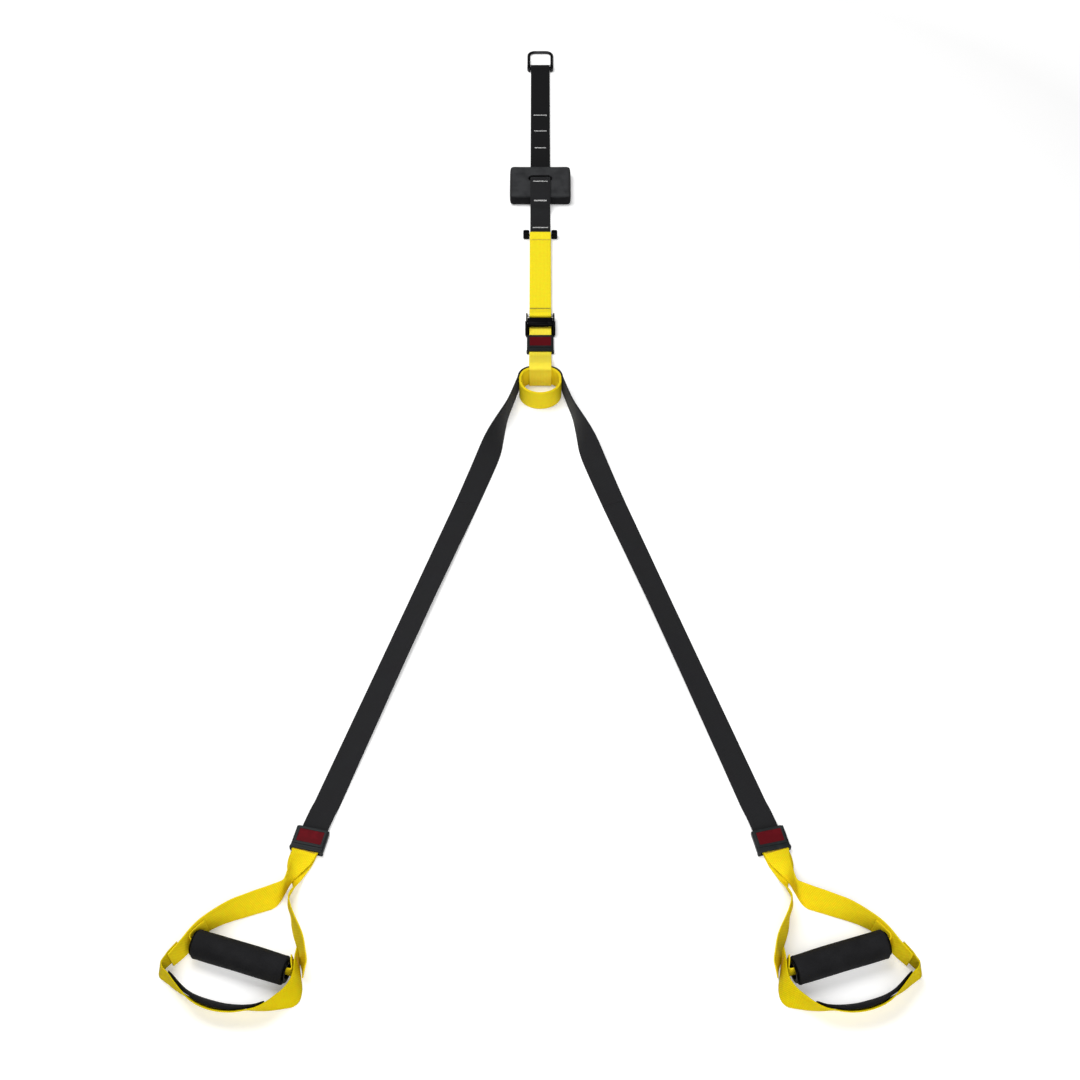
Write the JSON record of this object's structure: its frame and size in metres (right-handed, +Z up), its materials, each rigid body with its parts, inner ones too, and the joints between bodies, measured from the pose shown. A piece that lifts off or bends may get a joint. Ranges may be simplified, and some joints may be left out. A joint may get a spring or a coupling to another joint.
{
  "type": "suspension trainer",
  "caption": "Suspension trainer laid flat: hanging ring, anchor strap with foam door pad, cam buckle, locking loop and legs that end in foam grips with padded foot loops.",
  "frame": {"origin": "centre of the footprint on the floor that the trainer lies on", "axes": "+Y towards the hanging ring, +Z up from the floor, +X towards the right leg's side"},
  "size_m": [1.048, 2.0884, 0.0444],
  "materials": {
    "steel": "dark satin steel",
    "webbing_black": "black woven webbing",
    "webbing_yellow": "bright yellow woven webbing",
    "plastic_black": "near-black moulded plastic",
    "foam": "closed-cell black foam",
    "tube_plastic": "grey plastic pipe",
    "plate_red": "plain dark red panel"
  },
  "bodies": {
    "anchor": {"anchor_strap": "webbing_black"},
    "ring": {"hanging_ring": "steel"},
    "pad": {"door_pad": "foam"},
    "link": {"link_block_left": "plastic_black", "link_block_right": "plastic_black", "link_bar_anchor": "steel", "link_bar_main": "steel"},
    "strap": {"main_strap": "webbing_yellow"},
    "buckle": {"buckle_frame": "plastic_black", "buckle_bar": "steel", "cam_pin": "steel", "cam_spring": "steel"},
    "cam": {"cam_lever": "plastic_black"},
    "adjuster": {"adjuster_strap": "webbing_yellow", "centre_keeper": "plastic_black", "centre_plate": "plate_red", "locking_loop": "webbing_yellow", "running_strap": "webbing_black"},
    "leg_left": {"leg_strap_left": "webbing_black"},
    "keeper_body_left": {"keeper_left": "plastic_black", "plate_left": "plate_red"},
    "handle_left": {"handle_web_outer_left": "webbing_yellow", "handle_web_inner_left": "webbing_yellow", "foot_loop_left": "webbing_yellow", "foot_pad_left": "foam", "grip_core_left": "webbing_yellow"},
    "grip_left": {"grip_tube_left": "tube_plastic", "grip_foam_left": "foam", "grip_cap_outer_left": "plastic_black", "grip_cap_inner_left": "plastic_black"},
    "leg_right": {"leg_strap_right": "webbing_black"},
    "keeper_body_right": {"keeper_right": "plastic_black", "plate_right": "plate_red"},
    "handle_right": {"handle_web_outer_right": "webbing_yellow", "handle_web_inner_right": "webbing_yellow", "foot_loop_right": "webbing_yellow", "foot_pad_right": "foam", "grip_core_right": "webbing_yellow"},
    "grip_right": {"grip_tube_right": "tube_plastic", "grip_foam_right": "foam", "grip_cap_outer_right": "plastic_black", "grip_cap_inner_right": "plastic_black"}
  },
  "joints": [
    {"name": "ring_flip", "type": "hinge", "parent": "anchor", "child": "ring", "pos_m": [0, 0.99011, 0.00505], "axis": [1, 0, 0], "range_deg": [-90, 165]},
    {"name": "pad_slide", "type": "slide", "parent": "anchor", "child": "pad", "axis": [0, 1, 0], "range_m": [-0.04, 0.1], "deforming": ["anchor_strap"]},
    {"name": "link_turn", "type": "hinge", "parent": "anchor", "child": "link", "pos_m": [0, 0.51911, 0.0041], "axis": [1, 0, 0], "range_deg": [-60, 60]},
    {"name": "strap_turn", "type": "hinge", "parent": "link", "child": "strap", "pos_m": [0, 0.51511, 0.01091], "axis": [-1, 0, 0], "range_deg": [-10, 90]},
    {"name": "buckle_turn", "type": "hinge", "parent": "strap", "child": "buckle", "pos_m": [0, 0.30711, 0.0107], "axis": [-1, 0, 0], "range_deg": [0, 60]},
    {"name": "cam_press", "type": "hinge", "parent": "buckle", "child": "cam", "pos_m": [0, 0.28561, 0.0116], "axis": [-1, 0, 0], "range_deg": [0, 25], "stiffness_Nm_per_rad": 0.02, "springref_deg": -11.46},
    {"name": "length_slide", "type": "slide", "parent": "buckle", "child": "adjuster", "axis": [0, -1, 0], "range_m": [0, 0.12]},
    {"name": "leg_swing_left", "type": "hinge", "parent": "adjuster", "child": "leg_left", "pos_m": [-0.048, 0.09741, 0.02], "axis": [0, 0, -1], "range_deg": [-15, 60], "deforming": ["leg_strap_left"]},
    {"name": "leg_run_left", "type": "slide", "parent": "leg_left", "child": "keeper_body_left", "axis": [-0.314, -0.9494, 0], "range_m": [-0.1, 0.1], "deforming": ["leg_strap_left"]},
    {"name": "handle_lift_left", "type": "hinge", "parent": "keeper_body_left", "child": "handle_left", "pos_m": [-0.33672, -0.77558, 0.005], "axis": [0.9494, -0.314, 0], "range_deg": [-90, 90], "deforming": ["handle_web_outer_left", "handle_web_inner_left"]},
    {"name": "grip_spin_left", "type": "hinge", "parent": "handle_left", "child": "grip_left", "pos_m": [-0.41159, -0.95421, 0.0212], "axis": [0.9494, -0.314, 0], "continuous": true},
    {"name": "leg_swing_right", "type": "hinge", "parent": "adjuster", "child": "leg_right", "pos_m": [0.048, 0.09741, 0.02], "axis": [0, 0, 1], "range_deg": [-15, 60], "deforming": ["leg_strap_right"]},
    {"name": "leg_run_right", "type": "slide", "parent": "leg_right", "child": "keeper_body_right", "axis": [0.314, -0.9494, 0], "range_m": [-0.1, 0.1], "deforming": ["leg_strap_right"]},
    {"name": "handle_lift_right", "type": "hinge", "parent": "keeper_body_right", "child": "handle_right", "pos_m": [0.33672, -0.77558, 0.005], "axis": [-0.9494, -0.314, 0], "range_deg": [-90, 90], "deforming": ["handle_web_outer_right", "handle_web_inner_right"]},
    {"name": "grip_spin_right", "type": "hinge", "parent": "handle_right", "child": "grip_right", "pos_m": [0.41159, -0.95421, 0.0212], "axis": [-0.9494, -0.314, 0], "continuous": true}
  ],
  "couplings": [
    {"joint": "leg_run_right", "follows": "leg_run_left", "ratio": -1}
  ]
}
